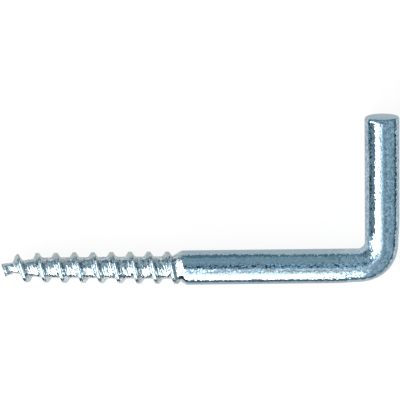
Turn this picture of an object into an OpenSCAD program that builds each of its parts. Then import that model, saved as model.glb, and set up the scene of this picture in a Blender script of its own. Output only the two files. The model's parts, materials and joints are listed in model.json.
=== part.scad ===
// Square-bend screw hook: one length of round steel wire with a rolled wood-screw
// thread at one end and a plain right-angle arm at the other.
//
// The hook lies flat on the XY plane. The shank runs along X with the screw's tip
// towards -X, and the arm rises along +Y. The origin is under the middle of its outline.

/* [Wire] */
// Diameter of the plain wire in the shank and the arm
wire_d = 5.2; // [5:0.1:7]
// Overall length, from the tip of the screw to the outside of the arm
hook_l = 60; // [50:1:110]
// Overall height, from the underside of the shank to the end of the arm
hook_h = 25.4; // [16:0.2:60]

/* [Bend] */
// Radius on the inside of the bend
bend_inner_r = 1.1; // [0.6:0.1:6]
// Radius of the rounded edge around the cut end of the arm
end_round = 0.45; // [0.1:0.05:1]

/* [Thread] */
// Length of the screw, from its tip to the shoulder
thread_l = 27.6; // [16:0.2:34]
// Distance from one turn of the thread to the next
thread_pitch = 2.8; // [2:0.1:4]
// Distance from the tip to the first crest on the side that the arm points to
first_crest = 2.7; // [0:0.1:4]
// Diameter over the ridge where it meets the shoulder
thread_d = 5; // [4.3:0.02:5.1]
// Diameter over the ridge just behind the point
thread_front_d = 4.46; // [3.6:0.02:4.8]
// Diameter of the core where it meets the shoulder
core_d = 3.45; // [2.6:0.05:3.8]
// Diameter of the core just behind the point
core_front_d = 3.05; // [2.2:0.05:3.4]
// Width of the ridge at its crest
crest_w = 0.46; // [0.2:0.02:0.8]
// Reach of the ridge's foot towards the tip, from the middle of its crest
tip_side_foot = 0.84; // [0.6:0.02:1.1]
// Reach of the ridge's foot towards the shoulder, from the middle of its crest
shoulder_side_foot = 0.72; // [0.5:0.02:1]
// How far the middle of the crest stands above its edges
crest_rise = 0.06; // [0:0.01:0.2]
// How far the screw leans from the shank's line to the side of the arm, in degrees
screw_lean = 0.64; // [0:0.02:2]

/* [Point] */
// Length over which the core widens from the tip
core_point_l = 7; // [3:0.1:10]
// Length over which the ridge rises from the tip
ridge_point_l = 3.2; // [1.5:0.1:6]
// Diameter of the core at the blunt tip
tip_d = 1.4; // [0.6:0.05:1.8]
// Diameter over the ridge at the blunt tip
tip_ridge_d = 1.65; // [1:0.05:2.4]
// How far the tip is cut back on the side away from the arm
tip_slant = 0.6; // [0:0.05:1]

/* [Shoulder] */
// Slope of the shoulder against the shank's axis, in degrees
shoulder_angle = 30; // [20:1:60]
// How far the rolled shoulder lies off the shank's axis, to the side of the arm
shoulder_offset = 0.2; // [0:0.05:0.4]

/* [Hidden] */

// Lengths are counted from the screw's tip along the shank's axis, and heights from that axis.
wire_r = wire_d / 2;
bend_r = bend_inner_r + wire_r;
arm_x = hook_l - wire_r;
arm_end_y = hook_h - wire_r;
bend_x = arm_x - bend_r;

// The screw's body runs this far into the plain wire, so that the two join.
screw_seat = 1;
screw_l = thread_l + screw_seat;

// Facets around the screw and around the plain wire, and along a rounded edge.
screw_steps = 48;
wire_steps = 96;
edge_steps = 5;

// The ridge's section, as distances along the axis from the middle of its crest.
section = [-tip_side_foot, -crest_w / 2, 0, crest_w / 2, shoulder_side_foot];
rows_a_turn = len(section);

// Rows start this many turns ahead of the first crest, so that the first ones fall before the tip.
lead_turns = 3;
turn_count = ceil(screw_l / thread_pitch) + lead_turns + 1;
row_count = turn_count * rows_a_turn;

// Value on the way from low to high, with share held between 0 and 1.
function between(low, high, share) = low + (high - low) * min(1, max(0, share));

// Radius that swells softly from the tip's to the front's over the point, then grows evenly.
function swelling_r(x, point_l, at_tip, at_front, at_shoulder) =
    x < point_l
        ? between(at_tip, at_front, (1 - cos(180 * x / point_l)) / 2) / 2
        : between(at_front, at_shoulder, (x - point_l) / (thread_l - point_l)) / 2;

// Radius of the core, and radius over the ridge, at a length from the tip.
function core_r(x) = swelling_r(x, core_point_l, tip_d, core_front_d, core_d);
function ridge_r(x) = swelling_r(x, ridge_point_l, tip_ridge_d, thread_front_d, thread_d);

// Distance along the axis past the nearest crest. The angle is counted from the arm's side.
function past_crest(x, angle) =
    let (turns = (x - first_crest) / thread_pitch - angle / 360)
    thread_pitch * (turns - round(turns));

// Radius of the threaded surface.
function screw_r(x, angle) =
    let (
        past = past_crest(x, angle),
        off = abs(past),
        crest_edge = crest_w / 2,
        foot = past < 0 ? tip_side_foot : shoulder_side_foot
    )
    off < crest_edge
        ? between(ridge_r(x), ridge_r(x) - crest_rise, off / crest_edge)
        : between(ridge_r(x) - crest_rise, core_r(x), (off - crest_edge) / (foot - crest_edge));

// Where the blunt tip's slanted face cuts the surface at an angle about the axis.
function tip_x(angle) = tip_slant * (1 - cos(angle)) / 2;

// Angle of a step around the screw.
function step_angle(step) = 360 * step / screw_steps;

// Where a row runs along the axis before it is cut to length. It climbs one pitch in a full turn.
function row_x(step, row) =
    first_crest
        + thread_pitch * (step / screw_steps + floor(row / rows_a_turn) - lead_turns)
        + section[row % rows_a_turn];

// The rows that end on the tip's face and on the seat's face at each step. A row that comes
// within a hair of a face ends there too, so that no sliver of surface is left between them.
hair = 0.03;
tip_rows = [
    for (step = [0 : screw_steps - 1])
        let (face_x = tip_x(step_angle(step)) + hair)
        max([for (row = [0 : row_count - 1]) if (row_x(step, row) <= face_x) row])
];
seat_rows = [
    for (step = [0 : screw_steps - 1])
        min([for (row = [0 : row_count - 1]) if (row_x(step, row) >= screw_l - hair) row])
];

// A point of the threaded surface, with its row cut to the screw's length.
function screw_point(step, row) =
    let (
        angle = step_angle(step),
        x = row <= tip_rows[step] ? tip_x(angle) : row >= seat_rows[step] ? screw_l : row_x(step, row),
        r = screw_r(x, angle)
    )
    [x, r * cos(angle), r * sin(angle)];

// Number of the point at a step and a row. The step after the last one is the first step
// again, one turn further along the helix.
function point_number(step, row) =
    step == screw_steps
        ? point_number(0, row + rows_a_turn)
        : step * row_count + min(seat_rows[step], max(tip_rows[step], row));

// One triangle, or none where two of its corners have run together at an end of the screw.
function triangle(a, b, c) = a == b || b == c || c == a ? [] : [[a, b, c]];

// The threaded body: core and ridge as one closed surface, from the tip to the seat.
module screw() {
    all_rows = [0 : row_count - 1];
    all_steps = [0 : screw_steps - 1];
    points = [for (step = all_steps, row = all_rows) screw_point(step, row)];
    tip_centre = len(points);
    seat_centre = tip_centre + 1;
    sides = [
        for (step = all_steps, row = [0 : row_count - 2])
            let (
                here = point_number(step, row),
                next_row = point_number(step, row + 1),
                next_step = point_number(step + 1, row),
                next_both = point_number(step + 1, row + 1)
            )
            each concat(triangle(here, next_row, next_both), triangle(here, next_both, next_step))
    ];
    ends = [
        for (step = all_steps)
            let (last = row_count - 1)
            each concat(
                triangle(point_number(step, 0), point_number(step + 1, 0), tip_centre),
                triangle(point_number(step + 1, last), point_number(step, last), seat_centre)
            )
    ];
    polyhedron(
        points = concat(points, [[tip_slant / 2, 0, 0], [screw_l, 0, 0]]),
        faces = concat(sides, ends),
        convexity = 10
    );
}

// Turns the screw a little about the middle of the shoulder, where it was rolled out of line.
module leaning() {
    translate([thread_l, 0, 0])
        rotate([0, 0, -screw_lean])
            translate([-thread_l, 0, 0])
                children();
}

// Plain wire from the shoulder to the bend. A cone, a little off the axis, cuts the shoulder.
module shank() {
    cone_x = thread_l - wire_r / tan(shoulder_angle);
    cone_l = bend_x - cone_x + wire_d;
    intersection() {
        translate([cone_x, 0, 0])
            rotate([0, 90, 0])
                cylinder(r = wire_r, h = bend_x - cone_x, $fn = wire_steps);
        translate([cone_x, shoulder_offset, 0])
            rotate([0, 90, 0])
                cylinder(r1 = 0, r2 = cone_l * tan(shoulder_angle), h = cone_l, $fn = wire_steps);
    }
}

// Quarter turn of the wire from the shank into the arm.
module bend() {
    translate([bend_x, bend_r, 0])
        rotate([0, 0, -90])
            rotate_extrude(angle = 90, $fn = wire_steps)
                translate([bend_r, 0])
                    circle(r = wire_r, $fn = wire_steps);
}

// Plain wire from the bend to the cut end, whose edge is rounded.
module arm() {
    arm_l = arm_end_y - bend_r;
    rounded_edge = [
        for (k = [0 : edge_steps])
            let (a = 90 * k / edge_steps)
            [wire_r - end_round * (1 - cos(a)), arm_l - end_round * (1 - sin(a))]
    ];
    translate([arm_x, bend_r, 0])
        rotate([-90, 0, 0])
            rotate_extrude($fn = wire_steps)
                polygon(concat([[0, 0], [wire_r, 0]], rounded_edge, [[0, arm_l]]));
}

// The whole hook is one piece of wire.
module screw_hook() {
    color([0.62, 0.70, 0.75])
        translate([-hook_l / 2, wire_r - hook_h / 2, wire_r])
            union() {
                leaning() screw();
                shank();
                bend();
                arm();
            }
}

screw_hook();
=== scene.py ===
import json
import math
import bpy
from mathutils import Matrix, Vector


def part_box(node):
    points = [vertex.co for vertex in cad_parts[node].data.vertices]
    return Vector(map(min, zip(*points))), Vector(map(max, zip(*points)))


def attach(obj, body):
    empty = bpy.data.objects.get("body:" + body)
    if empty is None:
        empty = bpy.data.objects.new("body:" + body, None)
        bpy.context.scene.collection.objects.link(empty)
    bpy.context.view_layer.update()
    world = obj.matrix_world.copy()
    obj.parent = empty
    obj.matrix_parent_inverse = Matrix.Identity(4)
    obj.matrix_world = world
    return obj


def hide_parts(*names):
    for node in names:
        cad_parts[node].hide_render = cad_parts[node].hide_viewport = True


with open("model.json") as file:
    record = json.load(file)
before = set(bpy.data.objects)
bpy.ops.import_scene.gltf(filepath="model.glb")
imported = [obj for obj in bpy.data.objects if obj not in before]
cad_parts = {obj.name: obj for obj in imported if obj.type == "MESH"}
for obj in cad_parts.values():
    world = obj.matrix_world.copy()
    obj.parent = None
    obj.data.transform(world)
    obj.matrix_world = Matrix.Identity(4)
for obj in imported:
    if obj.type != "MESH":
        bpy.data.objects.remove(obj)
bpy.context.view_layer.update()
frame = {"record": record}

from types import SimpleNamespace

import bpy
import numpy as np
from mathutils import Matrix, Vector, noise

MM = 0.001
NODE = "screw_hook"

# Sizes taken from the frame: the node's box in metres, and the rest in millimetres.
LOW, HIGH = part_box(NODE)
MOUNTS = {mount["name"]: mount for mount in frame["record"]["mounts"]}
WIRE_R = MOUNTS["arm"]["dims"]["r_mm"]
TIP_X = LOW[0] / MM
SHOULDER_X = MOUNTS["wood_thread"]["pos_m"][0] / MM
ARM_X = HIGH[0] / MM - WIRE_R
ARM_END_Y = HIGH[1] / MM
AXIS_Y = LOW[1] / MM + WIRE_R
AXIS_Z = LOW[2] / MM + WIRE_R
THREAD_L = SHOULDER_X - TIP_X

# The bend, in millimetres.
BEND_INNER_R = 1.1
BEND_R = BEND_INNER_R + WIRE_R
BEND_X = ARM_X - BEND_R
BEND_Y = AXIS_Y + BEND_R
BEND_ARC = BEND_R * math.pi / 2

# Places along the wire, in millimetres from the tip.
SHANK_END = BEND_X - TIP_X
ARM_START = SHANK_END + BEND_ARC
WIRE_END = ARM_START + ARM_END_Y - BEND_Y
BEND_MIDDLE = SHANK_END + BEND_ARC / 2

# The wire is a little flattened at both ends of the bend, in millimetres. The focus is the power
# that keeps it to the outside of the bend.
FLATTENING = 0.16
FLATTENING_L = 1.9
FLATTENING_FOCUS = 1.5

# The rolled thread, in millimetres. Core and ridge swell from the blunt tip over a stretch, and
# then grow evenly from the front to the shoulder.
PITCH = 2.8
FIRST_CREST = 2.7
RIDGE_D = 5.02
RIDGE_FRONT_D = 4.5
RIDGE_SWELL = (0.8, 2.8)
CORE_D = 3.45
CORE_FRONT_D = 3.05
CORE_SWELL = (0.0, 7.0)
TIP_D = 1.3
SCREW_LEAN = math.radians(0.64)

# The ridge's section: in millimetres its crest, and the reach of its foot to both sides from the
# middle of the crest. A flank is straight at a hollow of 1 and sinks in above that. The softness
# of foot and crest is a share of the ridge's height.
CREST_W = 0.46
TIP_SIDE_FOOT = 0.84
SHOULDER_SIDE_FOOT = 0.76
TIP_SIDE_HOLLOW = 1.9
SHOULDER_SIDE_HOLLOW = 1.1
FOOT_SOFTNESS = 0.03
CREST_SOFTNESS = 0.12
OVER_CREST_MOST = 2

# The first turn is uneven. Its crest is shifted towards the tip and a little back again, and its
# low side is slimmer by a share. Each is strongest at a place and fades over a reach to both
# sides, in millimetres.
FIRST_TURN_SHIFTS = (
    # shift towards the tip, place, reach
    (0.36, 2.4, 1.15),
    (-0.06, 3.6, 0.8),
)
SLIMMING = 0.45
SLIMMING_PLACE = 4.3
SLIMMING_REACH = 0.65

# Marks of the rolling dies, in millimetres: a seam that wanders along the crest, the crest's
# waver, streaks and dents that are calmer on the ridge by a share, and a bead beside its foot.
SEAM_DEPTH = 0.08
SEAM_W = 0.07
SEAM_PLACE = -0.04
SEAM_WANDER = 0.05
SEAM_WANDER_L = 2.4
CREST_WAVER = 0.06
CREST_WAVER_L = 1.6
STREAK_DEPTH = 0.055
STREAK_W = 0.2
STREAK_L = 2.4
DENT_DEPTH = 0.022
DENT_W = 0.35
DENT_L = 0.6
RIDGE_CALM = 0.6
BEAD_H = 0.035
BEAD_W = 0.09
BEAD_GAP = 0.06

# Each kind of mark reads the noise on a slice of its own, so that no two follow each other.
SEAM_SLICE = 3.1
CREST_SLICE = 7.7
STREAK_SLICE = 1.3
DENT_SLICE = 5.9
END_SLICE = 2.2

# The blunt tip, in millimetres: its slanted face, the length over which the rings straighten up
# behind it, and the burr around it, whose bias leans it away from the arm's side. The rings of
# the face are shares of the tip's radius.
TIP_SLANT = 0.6
TIP_STRAIGHTENING_L = 1.6
TIP_BURR = 0.33
TIP_BURR_BIAS = 1.3
TIP_BURR_L = 0.62
TIP_FACE_DIP = 0.02
TIP_FACE_SHARES = (0.2, 0.45, 0.7, 0.9)

# The shoulder, in millimetres: a cone a little off the axis, with both its edges rounded. It is
# held a little past the wire's surface, which cuts it off. Plain wire takes over past the seat.
SHOULDER_SLOPE = math.radians(30)
SHOULDER_OFFSET = 0.2
SHOULDER_PAST_WIRE = 1
SHOULDER_FOOT_ROUND = 0.06
SHOULDER_EDGE_ROUND = 0.05
SEAT_L = 1.2
SEAT_BLEND_L = 0.4

# The sheared end of the arm, in millimetres. The shear rolled its rim over more on one side, and
# left shallow dips in its face. The rounding's least, more and inward parts are multiples of it,
# and the rings of the face are shares of its radius.
END_ROUND = 0.36
END_ROUND_LEAST = 0.75
END_ROUND_MORE = 0.9
END_ROUND_INWARD = 0.8
END_ROLLED_SIDE = math.radians(55)
END_ROUND_RINGS = 9
END_FACE_SHARES = (0.93, 0.82, 0.66, 0.5, 0.34, 0.18)
END_DIP = 0.035
END_DIPS_ACROSS = 3

# Points around the wire, and the spacing of the rings along it, in millimetres.
AROUND = 120
SCREW_STEP = 0.055
BEND_STEP = 0.14
PLAIN_STEP = 0.6
FINE_PAST_SHOULDER = 2
FINE_PAST_BEND = 4
PLAIN_BEFORE_END = 0.9


def between(low, high, share):
    """Values on the way from low to high, with share held between 0 and 1."""
    return low + (high - low) * np.clip(share, 0, 1)


def hump(distance, reach):
    """A soft hump: 1 where distance is 0, and next to nothing at twice the reach."""
    return np.exp(-((distance / reach) ** 2))


def soft_max(a, b, width):
    """The larger of two surfaces, with the edge between them rounded over about width."""
    return (a + b + np.sqrt((a - b) ** 2 + width**2)) / 2


def soft_min(a, b, width):
    """The smaller of two surfaces, with the edge between them rounded over about width."""
    return (a + b - np.sqrt((a - b) ** 2 + width**2)) / 2


def noise_at(*coords):
    """Smooth noise from -1 to 1 at three coordinates, of which the first is an array."""
    flat = [np.broadcast_to(c, coords[0].shape).ravel() for c in coords]
    values = [noise.noise(Vector(point)) for point in zip(*flat)]
    return np.array(values).reshape(coords[0].shape)


def swelling_r(s, swell, at_tip, at_front, at_shoulder):
    """Radius that swells softly from the tip's to the front's along a stretch, then grows evenly."""
    start, end = swell
    turn = np.clip((s - start) / (end - start), 0, 1) * np.pi
    point = between(at_tip, at_front, (1 - np.cos(turn)) / 2)
    barrel = between(at_front, at_shoulder, (s - end) / (THREAD_L - end))
    return np.where(s < end, point, barrel) / 2


def core_r(s):
    """Radius of the screw's core at s from the tip."""
    return swelling_r(s, CORE_SWELL, TIP_D, CORE_FRONT_D, CORE_D)


def ridge_r(s):
    """Radius over the screw's ridge at s from the tip."""
    return swelling_r(s, RIDGE_SWELL, TIP_D, RIDGE_FRONT_D, RIDGE_D)


def tip_x(angle):
    """How far along the wire the slanted tip starts at an angle around it."""
    return TIP_SLANT * (1 - np.cos(angle)) / 2


def ridge_section(s, angle):
    """Distance past the nearest crest, distance along it, and the share of the ridge's height there."""
    pull = sum(shift * hump(s - place, reach) for shift, place, reach in FIRST_TURN_SHIFTS)
    turns = (s + pull - FIRST_CREST) / PITCH - angle / (2 * np.pi)
    off = (turns - np.round(turns)) * PITCH
    run = (np.round(turns) + angle / (2 * np.pi)) * np.pi * CORE_D

    slim = 1 - SLIMMING * hump(s - SLIMMING_PLACE, SLIMMING_REACH)
    crest_edge = slim * CREST_W / 2
    foot = slim * np.where(off < 0, TIP_SIDE_FOOT, SHOULDER_SIDE_FOOT)
    hollow = np.where(off < 0, TIP_SIDE_HOLLOW, SHOULDER_SIDE_HOLLOW)
    # The share is let past 1 over the crest, where soft_min cuts it off with a rounded edge.
    share = np.clip((foot - np.abs(off)) / (foot - crest_edge), 0, OVER_CREST_MOST) ** hollow
    share = soft_max(share, 0, FOOT_SOFTNESS)
    return off, run, soft_min(share, 1, CREST_SOFTNESS)


def wavering_crest_r(s, off, run):
    """Radius of the crest, with its waver and the seam that wanders along it."""
    wander = SEAM_WANDER * noise_at(run / SEAM_WANDER_L, SEAM_SLICE, 0.0) + SEAM_PLACE
    waver = CREST_WAVER * noise_at(run / CREST_WAVER_L, CREST_SLICE, 0.0)
    return ridge_r(s) + waver - SEAM_DEPTH * hump(off - wander, SEAM_W)


def die_marks(off, run, share):
    """Height of the streaks and dents that the dies leave, less of it on the ridge."""
    streaks = noise_at(off / STREAK_W, run / STREAK_L, STREAK_SLICE)
    dents = noise_at(off / DENT_W, run / DENT_L, DENT_SLICE)
    return (STREAK_DEPTH * streaks + DENT_DEPTH * dents) * (1 - RIDGE_CALM * np.clip(share, 0, 1))


def foot_bead(off):
    """Height of the bead beside the ridge's foot, on the shoulder's side."""
    return BEAD_H * hump(off - SHOULDER_SIDE_FOOT - BEAD_GAP, BEAD_W)


def tip_burr(s, angle):
    """Height of the burr around the tip."""
    return TIP_BURR * (1 - TIP_BURR_BIAS * np.cos(angle)) * hump(s - tip_x(angle), TIP_BURR_L)


def screw_r(s, angle):
    """Radius of the threaded surface, with the marks of its making."""
    off, run, share = ridge_section(s, angle)
    core = core_r(s)
    ridged = core + (wavering_crest_r(s, off, run) - core) * share
    return ridged + die_marks(off, run, share) + foot_bead(off) + tip_burr(s, angle)


def shoulder_r(s, angle):
    """Radius of the shoulder's cone, whose axis lies a little off the shank's."""
    cone = (s - THREAD_L) * math.tan(SHOULDER_SLOPE) + WIRE_R
    cone = np.maximum(cone, SHOULDER_OFFSET)
    across = np.sqrt(np.maximum(cone**2 - (SHOULDER_OFFSET * np.sin(angle)) ** 2, 0))
    return SHOULDER_OFFSET * np.cos(angle) + across


def wire_r(s, angle):
    """Radius of the plain wire, a little flattened outside the bend's two ends."""
    from_ends = np.abs(s - BEND_MIDDLE) - BEND_ARC / 2
    outside = np.clip(-np.cos(angle), 0, 1) ** FLATTENING_FOCUS
    return WIRE_R - FLATTENING * hump(from_ends, FLATTENING_L) * outside


def radius(s, angle):
    """Radius of the whole hook's surface at s along the wire and angle around it."""
    plain = wire_r(s, angle)
    cone = np.minimum(shoulder_r(s, angle), WIRE_R + SHOULDER_PAST_WIRE)
    screw = soft_max(screw_r(s, angle), cone, SHOULDER_FOOT_ROUND)
    screw = soft_min(screw, plain, SHOULDER_EDGE_ROUND)
    blend = np.clip((s - THREAD_L - SEAT_L) / SEAT_BLEND_L, 0, 1)
    return screw * (1 - blend) + plain * blend


def centre_line(s):
    """Point on the wire's axis and the direction to the inside of the bend, for each s."""
    turn = np.clip((s - SHANK_END) / BEND_R, 0, math.pi / 2)
    before = np.maximum(THREAD_L - s, 0)
    x = np.minimum(TIP_X + s, BEND_X) + BEND_R * np.sin(turn) + before * (1 - math.cos(SCREW_LEAN))
    y = BEND_Y - BEND_R * np.cos(turn) + np.maximum(s - ARM_START, 0) + before * math.sin(SCREW_LEAN)
    heading = turn - np.where(before > 0, SCREW_LEAN, 0)
    inward = np.stack([-np.sin(heading), np.cos(heading), np.zeros_like(heading)], -1)
    centre = np.stack([x, y, np.full_like(x, AXIS_Z)], -1)
    return centre, inward


def stations():
    """Places along the wire where a ring of points is made, closer where the shape changes."""
    screw_end = THREAD_L + FINE_PAST_SHOULDER
    bend_from = SHANK_END - FINE_PAST_BEND
    bend_to = ARM_START + FINE_PAST_BEND
    stretches = [
        (0, screw_end, SCREW_STEP),
        (screw_end, bend_from, PLAIN_STEP),
        (bend_from, bend_to, BEND_STEP),
        (bend_to, WIRE_END - PLAIN_BEFORE_END, PLAIN_STEP),
    ]
    places = []
    for start, end, step in stretches:
        count = max(2, round((end - start) / step))
        places.append(np.linspace(start, end, count, endpoint=False))
    return np.concatenate(places)


def end_rings(angles):
    """Rings of the cut end: pairs of s and radius arrays, from the arm's side in to the middle."""
    rolled = 0.5 + 0.5 * np.cos(angles - END_ROLLED_SIDE)
    rounding = END_ROUND * (END_ROUND_LEAST + END_ROUND_MORE * rolled**2)
    rings = []
    for turn in np.linspace(0, math.pi / 2, END_ROUND_RINGS):
        s = WIRE_END - rounding * (1 - math.sin(turn))
        r = WIRE_R - END_ROUND_INWARD * rounding * (1 - math.cos(turn))
        rings.append((s, r))
    face_r = rings[-1][1]
    for share in END_FACE_SHARES:
        spread = END_DIPS_ACROSS * share
        dip = END_DIP * noise_at(spread * np.cos(angles), spread * np.sin(angles), END_SLICE)
        rings.append((WIRE_END - np.abs(dip), face_r * share))
    return rings


def hook_rings():
    """Place along the wire, angle around it and radius of each point, ring by ring from the tip."""
    angles = np.linspace(0, 2 * np.pi, AROUND, endpoint=False)
    s, angle = np.meshgrid(stations(), angles, indexing="ij")
    s = s + tip_x(angle) * np.clip(1 - s / TIP_STRAIGHTENING_L, 0, 1)
    r = radius(s, angle)
    tip = [(s[0] + TIP_FACE_DIP, r[0] * share) for share in TIP_FACE_SHARES]
    end = end_rings(angles)
    s = np.concatenate([[ring[0] for ring in tip], s, [ring[0] for ring in end]])
    r = np.concatenate([[ring[1] for ring in tip], r, [ring[1] for ring in end]])
    return s, np.broadcast_to(angles, s.shape), r


def ring_faces(rings, around):
    """Faces between each ring and the next, and one face over each end."""
    number = np.arange(rings * around).reshape(rings, around)
    here, beside = number[:-1], np.roll(number[:-1], -1, axis=1)
    ahead, ahead_beside = number[1:], np.roll(number[1:], -1, axis=1)
    quads = np.stack([here, beside, ahead_beside, ahead], -1).reshape(-1, 4)
    return quads.tolist() + [number[0][::-1].tolist(), number[-1].tolist()]


def hook_mesh():
    """The whole hook as one closed mesh, with the values at its points that its material follows."""
    s, angle, r = hook_rings()
    inward_r = r * np.cos(angle)
    up_r = r * np.sin(angle)
    centre, inward = centre_line(s)
    points = centre + inward_r[..., None] * inward + up_r[..., None] * np.array([0, 0, 1.0])
    flow = np.stack([s, inward_r, up_r], -1)
    ridge = np.where(s < THREAD_L, np.clip(ridge_section(s, angle)[2], 0, 1), 0)
    cut = np.zeros(s.shape)
    cut[-len(END_FACE_SHARES):] = 1

    mesh = bpy.data.meshes.new("hook_wire")
    mesh.from_pydata((points.reshape(-1, 3) * MM).tolist(), [], ring_faces(*s.shape))
    mesh.attributes.new("flow", "FLOAT_VECTOR", "POINT").data.foreach_set("vector", flow.ravel())
    mesh.attributes.new("ridge", "FLOAT", "POINT").data.foreach_set("value", ridge.ravel())
    mesh.attributes.new("cut", "FLOAT", "POINT").data.foreach_set("value", cut.ravel())
    mesh.polygons.foreach_set("use_smooth", [True] * len(mesh.polygons))
    mesh.update()
    return mesh


def is_socket(value):
    """Whether a value comes from another node."""
    return isinstance(value, bpy.types.NodeSocket)


class Nodes:
    """Short calls for building the node tree of a material or the world."""

    def __init__(self, name, kind="materials"):
        self.owner = getattr(bpy.data, kind).new(name)
        self.owner.use_nodes = True
        self.tree = self.owner.node_tree
        self.tree.nodes.clear()

    def add(self, kind, inputs=None, **settings):
        """A new node, with its inputs linked to sockets or set to values."""
        node = self.tree.nodes.new(kind)
        for key, value in settings.items():
            setattr(node, key, value)
        for key, value in (inputs or {}).items():
            if is_socket(value):
                self.tree.links.new(value, node.inputs[key])
            else:
                node.inputs[key].default_value = value
        return node

    def grain(self, coords, scale, detail=1.0):
        """Soft noise from 0 to 1, with so many patches to a unit of the coordinates."""
        inputs = {"Vector": coords, "Scale": scale, "Detail": detail, "Roughness": 0.5}
        return self.add("ShaderNodeTexNoise", inputs).outputs["Fac"]

    def ramp(self, value, low, high, out_low=0.0, out_high=1.0):
        """A value moved from the range low to high into the range out_low to out_high."""
        inputs = {"Value": value, "From Min": low, "From Max": high, "To Min": out_low, "To Max": out_high}
        return self.add("ShaderNodeMapRange", inputs).outputs["Result"]

    def plus(self, a, b):
        """The sum of two values."""
        return self.add("ShaderNodeMath", {0: a, 1: b}, operation="ADD").outputs[0]

    def times(self, a, b):
        """The product of two values."""
        return self.add("ShaderNodeMath", {0: a, 1: b}, operation="MULTIPLY").outputs[0]

    def vector(self, operation, inputs):
        """The result of a vector sum, difference, scaling or normalizing."""
        return self.add("ShaderNodeVectorMath", inputs, operation=operation).outputs[0]

    def mix(self, share, a, b):
        """A colour between a and b, which are sockets or three numbers. They are inputs 6 and 7."""
        colours = {key: c if is_socket(c) else (*c, 1) for key, c in ((6, a), (7, b))}
        return self.add("ShaderNodeMix", {0: share, **colours}, data_type="RGBA").outputs[2]


# The plating's grains: how many there are to a millimetre, and the two tones that they lie
# between on each part of the wire.
GRAINS_A_MM = 4.6
SHANK_TONES = ((0.35, 0.47, 0.54), (0.43, 0.55, 0.62))
ARM_TONES = ((0.20, 0.31, 0.39), (0.70, 0.85, 0.96))
THREAD_TONES = ((0.22, 0.28, 0.31), (0.88, 0.93, 0.94))

# Tones that are mixed in: on the crest, in large patches, where the bend stretched the plating,
# and on the cut end, which has none.
CREST_TONE = (0.45, 0.53, 0.57)
CREST_TONE_SHARE = 0.3
PATCHES_A_MM = 0.7
PATCH_TONE_RANGE = (0.35, 0.65)
PATCH_TONE = (0.42, 0.52, 0.55)
PATCH_TONE_SHARE = 0.3
STRETCHED_TONE = (0.62, 0.76, 0.88)
STRETCHED_TONE_SHARE = 0.15
CUT_TONE = (0.51, 0.61, 0.66)

# Tint of what the metal mirrors at a grazing angle.
EDGE_TINT = (0.8, 0.86, 0.9)

# Roughness of the plating, which varies with the same patches, and what the thread, the bend and
# the cut end add to it.
PATCH_ROUGHNESS_RANGE = (0.3, 0.7)
PLATING_ROUGHNESS = (0.05, 0.1)
ROLLED_ROUGHNESS = 0.02
STRETCHED_ROUGHNESS = 0.03
CUT_ROUGHNESS = 0.3

# How far a grain leans on the plain wire and in the bend, and how much further on the thread. All
# of it is multiplied by the first factor off the ridge, plain wire too, and by the second on the
# crest.
GRAIN_LEANS = (0.115, 0.14)
ROLLED_LEAN = 0.085
RIDGE_LEAN_FACTORS = (1.1, 0.5)

# Drawing lines along the wire: how many there are to a millimetre, how they are drawn out along
# it, and their depth in metres.
LINES_A_MM = 2.4
LINES_SQUEEZE = (0.25, 1, 1)
LINE_DEPTH = 0.00002

# Places along the wire, in millimetres from the tip, from where something starts to where it is
# full: the tones of the bend and the arm, the stretched plating as it comes in from the arm, and
# the rolled screw as it comes in from the shank.
BENT_RAMP = (SHANK_END - 5, SHANK_END + 1)
STRETCHED_RAMP = (ARM_START + 2, ARM_START - 1)
ROLLED_RAMP = (THREAD_L, THREAD_L - 0.5)


def wire_parts(n, flow):
    """Values from 0 to 1 that say where the wire is ridged, cut, bent, rolled or stretched."""
    along = n.add("ShaderNodeSeparateXYZ", {0: flow}).outputs["X"]
    bent = n.ramp(along, *BENT_RAMP)
    return SimpleNamespace(
        ridge=n.add("ShaderNodeAttribute", attribute_name="ridge").outputs["Fac"],
        cut=n.add("ShaderNodeAttribute", attribute_name="cut").outputs["Fac"],
        bent=bent,
        rolled=n.ramp(along, *ROLLED_RAMP),
        stretched=n.times(bent, n.ramp(along, *STRETCHED_RAMP)),
    )


def zinc_colour(n, facets, patches, part):
    """The plating's colour, with a tone of its own for each grain."""
    grain = n.add("ShaderNodeSeparateXYZ", {0: facets["Color"]}).outputs["X"]
    plain = n.mix(part.bent, n.mix(grain, *SHANK_TONES), n.mix(grain, *ARM_TONES))
    threaded = n.mix(n.times(part.ridge, CREST_TONE_SHARE), n.mix(grain, *THREAD_TONES), CREST_TONE)
    colour = n.mix(part.rolled, plain, threaded)
    patched = n.ramp(patches, *PATCH_TONE_RANGE, 0.0, PATCH_TONE_SHARE)
    colour = n.mix(patched, colour, PATCH_TONE)
    colour = n.mix(n.times(part.stretched, STRETCHED_TONE_SHARE), colour, STRETCHED_TONE)
    return n.mix(part.cut, colour, CUT_TONE)


def zinc_roughness(n, patches, part):
    """The plating's roughness, which varies in patches and from part to part."""
    rough = n.ramp(patches, *PATCH_ROUGHNESS_RANGE, *PLATING_ROUGHNESS)
    rough = n.plus(rough, n.times(part.rolled, ROLLED_ROUGHNESS))
    rough = n.plus(rough, n.times(part.cut, CUT_ROUGHNESS))
    return n.plus(rough, n.times(part.stretched, STRETCHED_ROUGHNESS))


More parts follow.
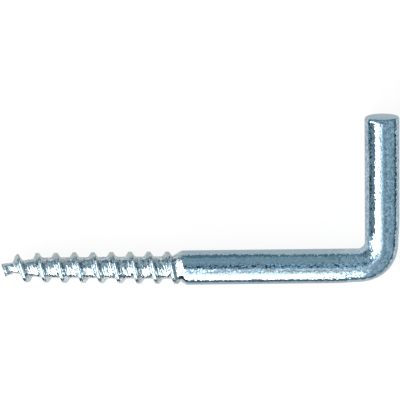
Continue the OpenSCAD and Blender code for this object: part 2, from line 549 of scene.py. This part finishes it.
def zinc_normal(n, flow, facets, part):
    """The surface's direction, with fine drawing lines and grains that each lean their own way."""
    squeezed = n.add("ShaderNodeMapping", {"Vector": flow, "Scale": LINES_SQUEEZE}).outputs["Vector"]
    lines = n.grain(squeezed, LINES_A_MM)
    bump = n.add("ShaderNodeBump", {"Height": lines, "Strength": 1.0, "Distance": LINE_DEPTH})
    steep = n.plus(n.ramp(part.stretched, 0, 1, *GRAIN_LEANS), n.times(part.rolled, ROLLED_LEAN))
    steep = n.times(steep, n.ramp(part.ridge, 0, 1, *RIDGE_LEAN_FACTORS))
    lean = n.vector("SUBTRACT", {0: facets["Color"], 1: (0.5, 0.5, 0.5)})
    lean = n.vector("SCALE", {0: lean, "Scale": steep})
    return n.vector("NORMALIZE", {0: n.vector("ADD", {0: bump.outputs["Normal"], 1: lean})})


def zinc_material():
    """Bright bluish zinc plating: fine grain all over, drawing lines along the wire, duller cut end."""
    n = Nodes("zinc_plating")
    flow = n.add("ShaderNodeAttribute", attribute_name="flow").outputs["Vector"]
    facets = n.add("ShaderNodeTexVoronoi", {"Vector": flow, "Scale": GRAINS_A_MM}).outputs
    patches = n.grain(flow, PATCHES_A_MM, 2.0)
    part = wire_parts(n, flow)
    shader = n.add(
        "ShaderNodeBsdfPrincipled",
        {
            "Base Color": zinc_colour(n, facets, patches, part),
            "Metallic": 1.0,
            "Roughness": zinc_roughness(n, patches, part),
            "Specular Tint": (*EDGE_TINT, 1),
            "Normal": zinc_normal(n, flow, facets, part),
        },
    )
    n.add("ShaderNodeOutputMaterial", {"Surface": shader.outputs["BSDF"]})
    return n.owner


def build_hook():
    """The hook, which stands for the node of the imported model."""
    hook = bpy.data.objects.new("hook_wire", hook_mesh())
    bpy.context.scene.collection.objects.link(hook)
    hook.data.materials.append(zinc_material())
    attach(hook, "root")
    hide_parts(NODE)


def seen_rays(n):
    """One for rays that look at a surface, straight or by reflection, and zero for its light on others."""
    rays = n.add("ShaderNodeLightPath").outputs
    return n.plus(n.plus(rays["Is Camera Ray"], rays["Is Glossy Ray"]), rays["Is Transmission Ray"])


# The floor and the world. What the camera and the metal see of them is nearly white, and the
# light that they throw on the hook is much less.
FLOOR_REACH = 3.0
FLOOR_GREY = 0.09
FLOOR_GLOW = 0.9
WORLD_LIGHT = 0.35
WHITE = (1.0, 1.0, 1.0)


def floor_material():
    """Pale floor: a diffuse surface that takes the shadow, with the white that the camera sees added."""
    n = Nodes("pale_floor")
    pale = n.add("ShaderNodeBsdfDiffuse", {"Color": (FLOOR_GREY, FLOOR_GREY, FLOOR_GREY, 1)})
    strength = n.times(seen_rays(n), FLOOR_GLOW)
    glow = n.add("ShaderNodeEmission", {"Color": (*WHITE, 1), "Strength": strength})
    both = n.add("ShaderNodeAddShader", {0: pale.outputs[0], 1: glow.outputs[0]})
    n.add("ShaderNodeOutputMaterial", {"Surface": both.outputs[0]})
    return n.owner


def build_world():
    """A dim even world that looks white to the camera and in the metal."""
    n = Nodes("studio", "worlds")
    bpy.context.scene.world = n.owner
    strength = n.ramp(seen_rays(n), 0, 1, WORLD_LIGHT, 1.0)
    sky = n.add("ShaderNodeBackground", {"Color": (*WHITE, 1), "Strength": strength})
    n.add("ShaderNodeOutputWorld", {"Surface": sky.outputs[0]})


def card_material(name, colour, strength):
    """A panel that shines evenly."""
    n = Nodes(name)
    glow = n.add("ShaderNodeEmission", {"Color": (*colour, 1), "Strength": strength})
    n.add("ShaderNodeOutputMaterial", {"Surface": glow.outputs[0]})
    return n.owner


def uneven_material(name, colour, patches_a_metre, dimmest, brightest, softness):
    """A panel that shines unevenly, so that the grain of the metal shows where it mirrors it."""
    n = Nodes(name)
    place = n.add("ShaderNodeNewGeometry").outputs["Position"]
    patches = n.add("ShaderNodeMapping", {"Vector": place, "Scale": patches_a_metre}).outputs["Vector"]
    strength = n.ramp(n.grain(patches, 1.0), 0.5 - softness, 0.5 + softness, dimmest, brightest)
    glow = n.add("ShaderNodeEmission", {"Color": (*colour, 1), "Strength": strength})
    n.add("ShaderNodeOutputMaterial", {"Surface": glow.outputs[0]})
    return n.owner


def panel(name, corners, material, seen=False):
    """A flat piece of the set. A card is only there for the metal to mirror."""
    mesh = bpy.data.meshes.new(name)
    mesh.from_pydata([Vector(corner) for corner in corners], [], [range(len(corners))])
    mesh.materials.append(material)
    card = bpy.data.objects.new(name, mesh)
    bpy.context.scene.collection.objects.link(card)
    card.visible_camera = seen
    card.visible_diffuse = seen
    card.visible_shadow = seen


def level_corners(x, y, z):
    """Corners of a level rectangle at height z."""
    return [(x[0], y[0], z), (x[1], y[0], z), (x[1], y[1], z), (x[0], y[1], z)]


def upright_corners(x, y, z):
    """Corners of an upright rectangle that faces along x."""
    return [(x, y[0], z[0]), (x, y[1], z[0]), (x, y[1], z[1]), (x, y[0], z[1])]


def sloping_corners(x, near, far):
    """Corners of a rectangle along x, whose near and far edges are given as y and height."""
    return [(x[0], *near), (x[1], *near), (x[1], *far), (x[0], *far)]


def build_floor():
    """The floor, the one piece of the set that the camera sees."""
    reach = (-FLOOR_REACH, FLOOR_REACH)
    panel("floor", level_corners(reach, reach, 0), floor_material(), seen=True)


def soft_light(name, corner, along, across, radiance):
    """An evenly bright rectangular lamp. It shines away from the side that along x across points to."""
    along = Vector(along)
    across = Vector(across)
    lamp = bpy.data.lights.new(name, "AREA")
    lamp.shape = "RECTANGLE"
    lamp.size = along.length
    lamp.size_y = across.length
    lamp.energy = radiance * math.pi * along.length * across.length
    light = bpy.data.objects.new(name, lamp)
    bpy.context.scene.collection.objects.link(light)
    axes = (along.normalized(), across.normalized(), along.cross(across).normalized())
    place = Vector(corner) + (along + across) / 2
    light.matrix_world = Matrix.Translation(place) @ Matrix(axes).transposed().to_4x4()
    light.visible_camera = False


# The set, in metres. Metal shows what stands around it, so it gets large soft lights on the
# left and in front, a grey ceiling, a dark card at the camera and dark strips low all round.
LIGHT_Z = 0.40
LIGHT_RADIANCE = 4.0
FRONT_EDGE_Y = -0.25

# The big level light on the left, in strips that end on a slant towards the back. The last one,
# nearest the hook, is dimmer, for the soft right edge of the arm's white band.
LEFT_LIGHT_X = (-1.3, -0.028)
LEFT_LIGHT_STRIPS = 12
LEFT_LIGHT_BACK_Y = -0.12
LEFT_LIGHT_SLANT = 0.85
LAST_STRIP_RADIANCE = 1.7

# The light in front rises from low down to the level of the big one, and its top is dimmer.
FRONT_LIGHT_X = (-1.3, 0.06)
FRONT_LIGHT_FOOT_Y = -0.52
FRONT_LIGHT_FOOT_Z = 0.085
FRONT_DIM_SHARE = 0.25
FRONT_DIM_RADIANCE = 1.5

# The upright light closes the set on the far left.
SIDE_LIGHT_Z = 0.1
SIDE_LIGHT_Y = (-0.25, 0.9)

# Over the shank a white and a blue fringe lie between the light in front and the dark card at the
# camera, and a bright line lies just below the white one.
FRINGE_X = (-0.025, 0.06)
WHITE_FRINGE_Y = (FRONT_EDGE_Y, -0.10)
BLUE_FRINGE_Y = (-0.10, -0.03)
WHITE_LINE_Y = (-0.22, -0.19)
WHITE_LINE_Z = LIGHT_Z - 0.005
CAMERA_CARD_X = (-0.1, 0.075)
CAMERA_CARD_Y = (0.045, 0.17)
CAMERA_CARD_Z = LIGHT_Z - 0.01

# Cards on the floor around the hook, in its throat and in front of the thread.
FLOOR_CARD_HALF = 0.06
FLOOR_CARD_Z = 0.0001
NEAR_CARD_Z = 0.0002
THROAT_CARD_X = (-0.035, 0.012)
THROAT_CARD_Y = (0.005, 0.0155)
FRONT_CARD_X = (-0.05, SHOULDER_X * MM - 0.0006)
FRONT_CARD_Y = (-0.05, LOW[1])

# A bright card above the thread, and a dark one low in front of it, whose reflection is painted shade: the
# dark line under the thread's core.
THREAD_CARD_X = (-0.045, -0.0085)
THREAD_CARD_Y = (-0.034, -0.009)
THREAD_CARD_Z = 0.1
THREAD_SHADE_X = (-0.06, SHOULDER_X * MM - 0.0016)
THREAD_SHADE_NEAR = (-0.022, 0.0004)
THREAD_SHADE_FAR = (-0.200, 0.055)

# Two upright cards beside the arm, a dark one and a grey one on top of it.
ARM_CARD_X = ARM_X * MM - 0.0069
ARM_CARD_Y = (BEND_Y * MM - 0.0002, ARM_END_Y * MM - 0.0005)
ARM_CARD_FOOT_Z = AXIS_Z * MM + 0.0010
ARM_CARD_JOIN_Z = AXIS_Z * MM + 0.0034
ARM_CARD_TOP_Z = AXIS_Z * MM + 0.0077

# The grey ceiling, and on each side a dark strip that rises slowly from the floor near the hook
# to where the strip ends. A grey panel joins that edge to the ceiling's.
CEILING_Z = 0.42
CEILING_HALF = 0.9
STRIP_END = 1.6
DARK_STRIPS = {
    # side: the way it lies, where the strip starts on the floor, its far edge's height, its colour
    "right": ((1, 0), 0.042, 0.10, (0.063, 0.119, 0.14)),
    "left": ((-1, 0), 0.085, 0.11, (0.113, 0.213, 0.25)),
    "back": ((0, 1), 0.0155, 0.26, (0.15, 0.28, 0.34)),
    "front": ((0, -1), 0.026, 0.17, (0.16, 0.195, 0.215)),
}

# Looks of the cards. In an uneven one, few patches a metre along y make long stripes, which show
# in the shank as a row of specks.
EVEN_LOOKS = {
    # name: colour, strength
    "white_line": (WHITE, 1.8),
    "floor_card": (WHITE, 0.8),
    "front_card": (WHITE, 1.05),
    "bright_card": (WHITE, LIGHT_RADIANCE),
    "dim_card": ((0.67, 0.88, 1.0), 0.34),
    "thread_shade": ((0.04, 0.055, 0.065), 1.0),
}
UNEVEN_LOOKS = {
    # name: colour, patches a metre along x, y and z, least and most strength, softness
    "blue_fringe": ((0.82, 0.92, 1.0), (45, 10, 45), 0.8, 1.5, 0.1),
    "white_fringe": ((1.0, 0.97, 0.95), (45, 10, 45), 0.55, 0.98, 0.1),
    "camera_card": ((0.45, 0.75, 1.0), (70, 6, 45), 0.0, 1.1, 0.05),
    "hook_card": ((0.42, 0.8, 1.0), (3000, 3000, 600), 0.0, 0.55, 0.1),
    "grey_ceiling": ((0.67, 0.88, 1.0), (9, 9, 9), 0.40, 0.76, 0.2),
}


def left_light_back(x):
    """Where the big left light ends towards the back, at a place across."""
    return LEFT_LIGHT_BACK_Y - LEFT_LIGHT_SLANT * x


def build_left_light():
    """The big level light on the left, strip by strip."""
    edges = np.linspace(*LEFT_LIGHT_X, LEFT_LIGHT_STRIPS + 1)
    for k, (left, right) in enumerate(zip(edges[:-1], edges[1:])):
        depth = left_light_back((left + right) / 2) - FRONT_EDGE_Y
        corner = (left, FRONT_EDGE_Y, LIGHT_Z)
        radiance = LIGHT_RADIANCE if k < LEFT_LIGHT_STRIPS - 1 else LAST_STRIP_RADIANCE
        soft_light(f"left_light_{k}", corner, (right - left, 0, 0), (0, depth, 0), radiance)


def build_front_light():
    """The sloping light in front, and its dimmer top."""
    left, right = FRONT_LIGHT_X
    wide = (right - left, 0, 0)
    foot = Vector((left, FRONT_LIGHT_FOOT_Y, FRONT_LIGHT_FOOT_Z))
    rise = Vector((left, FRONT_EDGE_Y, LIGHT_Z)) - foot
    bright = rise * (1 - FRONT_DIM_SHARE)
    soft_light("front_light", foot, wide, bright, LIGHT_RADIANCE)
    soft_light("front_light_top", foot + bright, wide, rise - bright, FRONT_DIM_RADIANCE)


def build_side_light():
    """The upright light on the far left."""
    front, back = SIDE_LIGHT_Y
    corner = (LEFT_LIGHT_X[0], back, SIDE_LIGHT_Z)
    rise = (0, 0, LIGHT_Z - SIDE_LIGHT_Z)
    soft_light("side_light", corner, (0, front - back, 0), rise, LIGHT_RADIANCE)


def card_looks():
    """The materials of the cards, by name."""
    even = {name: card_material(name, *look) for name, look in EVEN_LOOKS.items()}
    uneven = {name: uneven_material(name, *look) for name, look in UNEVEN_LOOKS.items()}
    return {**even, **uneven}


def build_near_cards(looks):
    """The small cards close to the hook."""
    around = (-FLOOR_CARD_HALF, FLOOR_CARD_HALF)
    dark_z = (ARM_CARD_FOOT_Z, ARM_CARD_JOIN_Z)
    grey_z = (ARM_CARD_JOIN_Z, ARM_CARD_TOP_Z)
    shade = sloping_corners(THREAD_SHADE_X, THREAD_SHADE_NEAR, THREAD_SHADE_FAR)
    thread = level_corners(THREAD_CARD_X, THREAD_CARD_Y, THREAD_CARD_Z)
    throat = level_corners(THROAT_CARD_X, THROAT_CARD_Y, NEAR_CARD_Z)
    front = level_corners(FRONT_CARD_X, FRONT_CARD_Y, NEAR_CARD_Z)
    panel("floor_card", level_corners(around, around, FLOOR_CARD_Z), looks["floor_card"])
    panel("throat_card", throat, looks["hook_card"])
    panel("front_card", front, looks["front_card"])
    panel("thread_card", thread, looks["bright_card"])
    # The dark card in front of the thread paints the shade under its core, which the metal mirrors.
    panel("thread_shade", shade, looks["thread_shade"])
    panel("arm_card", upright_corners(ARM_CARD_X, ARM_CARD_Y, dark_z), looks["hook_card"])
    panel("arm_card_top", upright_corners(ARM_CARD_X, ARM_CARD_Y, grey_z), looks["dim_card"])


def build_high_cards(looks):
    """The fringes and the dark card at the height of the lights, and the ceiling over them."""
    line = level_corners(FRINGE_X, WHITE_LINE_Y, WHITE_LINE_Z)
    camera = level_corners(CAMERA_CARD_X, CAMERA_CARD_Y, CAMERA_CARD_Z)
    ceiling = (-CEILING_HALF, CEILING_HALF)
    panel("blue_fringe", level_corners(FRINGE_X, BLUE_FRINGE_Y, LIGHT_Z), looks["blue_fringe"])
    panel("white_fringe", level_corners(FRINGE_X, WHITE_FRINGE_Y, LIGHT_Z), looks["white_fringe"])
    panel("white_line", line, looks["white_line"])
    panel("camera_card", camera, looks["camera_card"])
    panel("ceiling", level_corners(ceiling, ceiling, CEILING_Z), looks["grey_ceiling"])


def build_dark_strips(looks):
    """On each side, the dark strip low down and the grey between it and the ceiling."""
    for name, ((x, y), near, top, colour) in DARK_STRIPS.items():
        out = Vector((x, y, 0))
        side = Vector((-y, x, 0))
        wide = side * STRIP_END
        foot = out * near
        rim = out * STRIP_END + Vector((0, 0, top))
        crown = out * CEILING_HALF + Vector((0, 0, CEILING_Z))
        crown_wide = side * CEILING_HALF
        dark = card_material(f"dark_{name}", colour, 1.0)
        grey = looks["grey_ceiling"]
        panel(f"dark_{name}", [foot - wide, foot + wide, rim + wide, rim - wide], dark)
        panel(f"grey_{name}", [rim - wide, rim + wide, crown + crown_wide, crown - crown_wide], grey)


# The camera, fitted to the photograph's frame of 400 pixels: tilts and roll in degrees, distance
# in millimetres, pixels to a millimetre at the hook, the aim's offset from the point over the
# origin at the wire's axis, the sensor's width, and in metres how near and how far it sees.
TILT = 13.0
SIDE = 1.29
ROLL = -0.97
DISTANCE = 415.0
IMAGE_PIXELS = 400
PIXELS_A_MM = 6.673
AIM_RIGHT = 0.144
AIM_UP = 0.315
SENSOR = 36.0
NEAREST = 0.01
FURTHEST = 20


def build_camera():
    """The camera at the photograph's viewing angle."""
    tilt, side, roll = (math.radians(a) for a in (TILT, SIDE, ROLL))
    back = Vector((math.sin(side), math.sin(tilt) * math.cos(side), math.cos(tilt) * math.cos(side)))
    level_right = Vector((0, 1, 0)).cross(back).normalized()
    level_up = back.cross(level_right)
    right = math.cos(roll) * level_right + math.sin(roll) * level_up
    up = math.cos(roll) * level_up - math.sin(roll) * level_right
    target = Vector((0, 0, AXIS_Z)) + AIM_RIGHT * right + AIM_UP * up
    place = (target + DISTANCE * back) * MM

    data = bpy.data.cameras.new("camera")
    data.sensor_width = SENSOR
    data.lens = SENSOR * DISTANCE * PIXELS_A_MM / IMAGE_PIXELS
    data.clip_start = NEAREST
    data.clip_end = FURTHEST
    camera = bpy.data.objects.new("camera", data)
    bpy.context.scene.collection.objects.link(camera)
    camera.matrix_world = Matrix.Translation(place) @ Matrix((right, up, back)).transposed().to_4x4()
    bpy.context.scene.camera = camera


def build_set():
    """Floor, world, lights and cards."""
    looks = card_looks()
    build_floor()
    build_world()
    build_left_light()
    build_front_light()
    build_side_light()
    build_near_cards(looks)
    build_high_cards(looks)
    build_dark_strips(looks)


build_camera()
build_hook()
build_set()
bpy.context.scene.view_settings.view_transform = "Standard"
